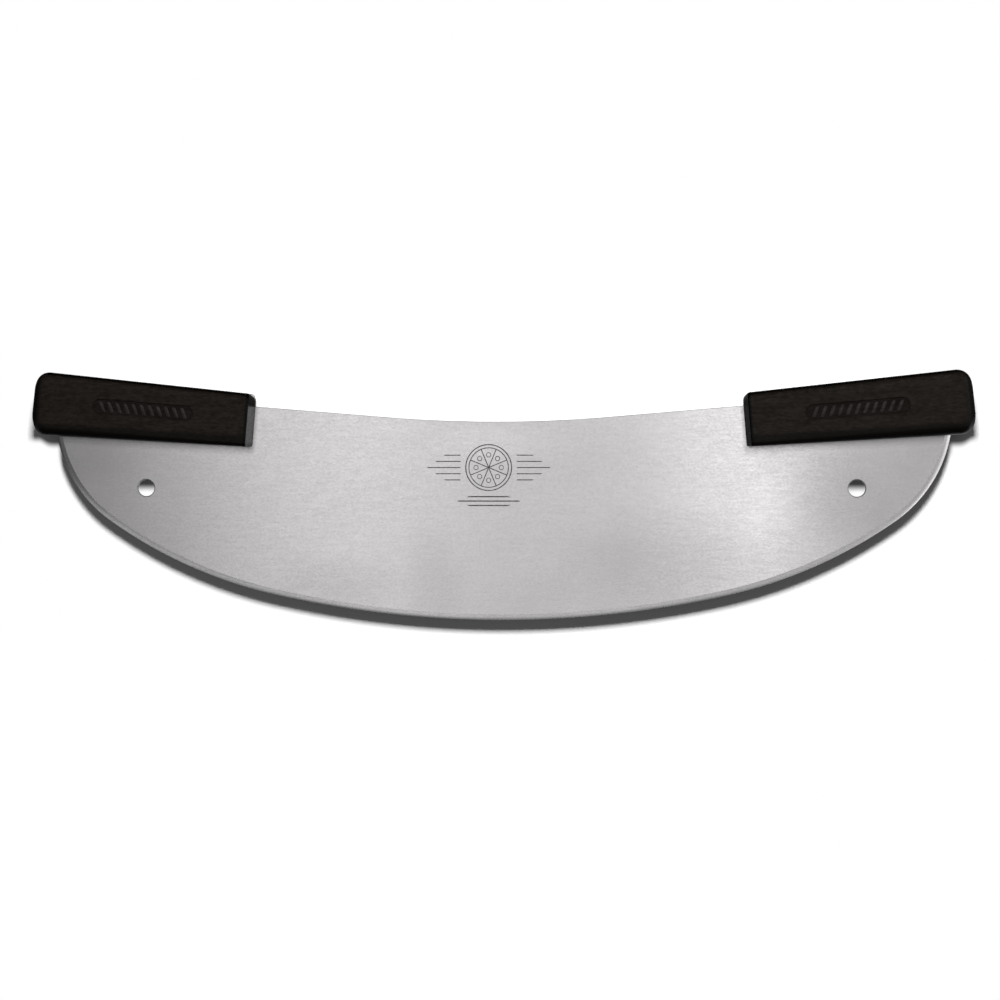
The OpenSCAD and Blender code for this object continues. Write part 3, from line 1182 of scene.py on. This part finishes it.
    def build(self, materials: Sequence[Material]) -> Piece:
        """Builds and dresses the handle.

        Args:
            materials: The plastic's materials, in the order of PlasticSlot.

        Returns:
            The piece.
        """
        name = f"{self.side.name.lower()}_handle"
        blank = dressed(f"{name}_grip", self.skin(), materials)
        tools = []
        for face in Face:
            for operation, shape in (("DIFFERENCE", self.panel_cutter(face)), ("UNION", self.ribs(face))):
                tool = dressed(shape.name, shape, materials)
                step = blank.modifiers.new(operation.lower(), "BOOLEAN")
                step.operation = operation
                step.solver = "EXACT"
                step.object = tool
                tools.append(tool)
        bpy.context.view_layer.update()
        evaluated = blank.evaluated_get(bpy.context.evaluated_depsgraph_get())
        mesh = bpy.data.meshes.new_from_object(evaluated)
        blank.modifiers.clear()
        blank.data = mesh
        for tool in tools:
            bpy.data.objects.remove(tool)
        mesh.transform(self.to_frame())
        if self.side is Side.LEFT:
            mesh.flip_normals()
        mesh.shade_smooth()
        mesh.set_sharp_from_angle(angle=self.crease)
        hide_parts(name)
        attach(blank, "root")
        return blank


@dataclass
class Studio:
    """White sheet, lamps, surroundings and camera."""

    sheet_half: float = 4.0
    sheet_gap: float = 0.1 * MM
    camera_azimuth: float = 4.25
    camera_height: float = 0.77
    distance: float = 1.3
    lens: float = 82.5
    aim: Point = (1.38 * MM, 0.0, 68.1 * MM)
    key_at: Point = (0.08, -1.0, 0.70)
    key_size: float = 0.27
    key_power: float = 19.0
    back_at: Point = (-0.5, 1.1, 0.75)
    back_power: float = 14.0
    room_light: float = 0.085

    def sheet(self) -> Piece:
        """Lays the white sheet behind the handles' back faces."""
        half, back = self.sheet_half, CAD_BOX[1][1] + self.sheet_gap
        corners = [(-half, back, -half), (half, back, -half), (half, back, half), (-half, back, half)]
        mesh = bpy.data.meshes.new("white_sheet")
        mesh.from_pydata(corners, [], [(0, 1, 2, 3)])
        sheet = dressed("white_sheet", mesh, [PaleFloorFinish().material()])
        return sheet

    def lamp(self, name: str, place: Sequence[float], size: float, power: float) -> Piece:
        """Adds a square soft lamp that points at the knife and doesn't show in its steel.

        Args:
            name: Name of the lamp.
            place: Where it stands.
            size: Length of its sides.
            power: Power in watts.

        Returns:
            The lamp.
        """
        data = bpy.data.lights.new(name, "AREA")
        data.energy = power
        data.size = size
        lamp = linked(name, data)
        lamp.location = place
        lamp.rotation_euler = (Vector(self.aim) - Vector(place)).to_track_quat("-Z", "Y").to_euler()
        lamp.visible_glossy = False
        return lamp

    def lamps(self) -> None:
        """Adds the key lamp over the camera, and one for the back."""
        self.lamp("key_softbox", self.key_at, self.key_size, self.key_power)
        self.lamp("back_softbox", self.back_at, self.key_size, self.back_power)

    def surroundings(self) -> None:
        """Sets the world: white to the camera, and a soft studio to glossy and diffuse rays."""
        world = bpy.data.worlds.new("white_studio")
        world.use_nodes = True
        world.node_tree.nodes.clear()
        graph = Graph(world.node_tree)
        path = graph.add("LightPath").outputs
        x, y, z = graph.split(graph.add("TexCoord").outputs["Generated"])
        bearing = graph.math("ARCTAN2", x, graph.times(y, -1.0))
        share = graph.math("MULTIPLY_ADD", bearing, 1 / math.radians(360), 0.5, clamp=True)
        walls = graph.add("ValToRGB", {"Fac": share})
        self.fill_ramp(walls.color_ramp)
        slope = graph.math("ARCSINE", z)
        wall_light = graph.times(walls.outputs["Color"], WALL_SCALE)
        rise = graph.times(graph.turned(slope, -10, 12, 0.55, 1.60),
                           graph.turned(slope, 20, 40, 1.0, 0.03), graph.turned(slope, -50, -36, 0.1, 1.0))
        low = graph.times(graph.turned(slope, -46, -37), graph.turned(slope, -24, -16, 1.0, 0.0))
        left = graph.times(graph.turned(bearing, -15, -5, 0.42, 0.0),
                          graph.turned(bearing, -48, -28, 0.45, 1.0))
        aside = graph.turned(bearing, 32, 46, 0.0, 0.5)
        right = graph.turned(bearing, -3, 9, 0.25, 0.37)
        table = graph.times(low, graph.plus(left, aside, right))
        sides = graph.turned(bearing, 95, 115), graph.turned(bearing, 150, 162, 1.0, 0.0)
        ends = graph.turned(slope, -45, -35), graph.turned(slope, -12, -6, 0.65, 0.0)
        behind = graph.times(*sides, *ends)
        shine = graph.plus(graph.times_plus(wall_light, rise, table), behind)
        direct = graph.math("LESS_THAN", path["Diffuse Depth"], 0.5)
        mirrored = graph.times(path["Is Glossy Ray"], direct)
        shown = graph.math("MAXIMUM", path["Is Camera Ray"], path["Is Transmission Ray"])
        level = graph.times_plus(mirrored, shine, shown)
        plain = graph.minus(1.0, graph.math("MAXIMUM", shown, mirrored))
        strength = graph.times_plus(plain, self.room_light, level)
        background = graph.add("Background", {"Color": (1.0, 1.0, 1.0, 1.0), "Strength": strength})
        output = graph.add("OutputWorld")
        graph.feed(output.inputs["Surface"], background.outputs[0])
        bpy.context.scene.world = world

    def fill_ramp(self, ramp: bpy.types.ColorRamp) -> None:
        """Sets how bright the studio's walls are all round the knife, from straight behind it.

        Args:
            ramp: Ramp to fill.
        """
        stops = {
            -180: 1.0, -168: 0.9, -158: 0.05, -55: 0.05, -42: 0.18, -30: 0.04, -22: 0.09, -14.5: 0.26,
            -13: 0.46, -11.6: 0.70, -10.2: 0.93, -8.7: 1.10, -6.4: 1.14, -5.6: 0.84, -1.2: 0.70, 0.2: 0.88,
            1.5: 1.68, 2.3: 2.05, 3.2: 1.30, 4.1: 0.40, 5.0: 0.38, 6.5: 0.54, 14: 0.70, 35: 0.62,
            46: 2.0, 66: 0.10, 84: 0.45, 97: 0.45, 105: 0.05, 158: 0.05, 168: 0.9, 180: 1.0,
        }
        for number, (bearing, level) in enumerate(stops.items()):
            place = bearing / 360 + 0.5
            stop = ramp.elements[number] if number < 2 else ramp.elements.new(place)
            stop.position = place
            stop.color = (*[level / WALL_SCALE] * 3, 1.0)

    def camera(self) -> Piece:
        """Sets the camera where the photograph was taken from."""
        data = bpy.data.cameras.new("photo_camera")
        data.lens = self.lens
        data.sensor_width = 36.0
        data.clip_end = 50.0
        around, up = math.radians(self.camera_azimuth), math.radians(self.camera_height)
        way = Vector((math.sin(around) * math.cos(up), -math.cos(around) * math.cos(up), math.sin(up)))
        camera = linked("photo_camera", data)
        camera.location = Vector(self.aim) + self.distance * way
        camera.rotation_euler = (-way).to_track_quat("-Z", "Y").to_euler()
        bpy.context.scene.camera = camera
        return camera

    def build(self) -> None:
        """Builds the whole studio."""
        self.camera()
        self.surroundings()
        self.lamps()
        self.sheet()
        bpy.context.scene.view_settings.view_transform = "Standard"


def main() -> None:
    """Builds the studio and the knife, and reports each piece."""
    logging.basicConfig(level=logging.INFO, format="%(name)s: %(message)s")
    effects = Effects.build()
    Studio().build()
    steels = [finish.material(effects) for finish in STEEL_FINISHES]
    plastics = [finish.material(effects) for finish in PLASTIC_FINISHES]
    pieces = [Blade().build(steels)] + [Handle(side).build(plastics) for side in Side]
    for piece in pieces:
        LOG.info("%s has %d faces", piece.name, len(piece.data.polygons))


if __name__ == "__main__":
    main()
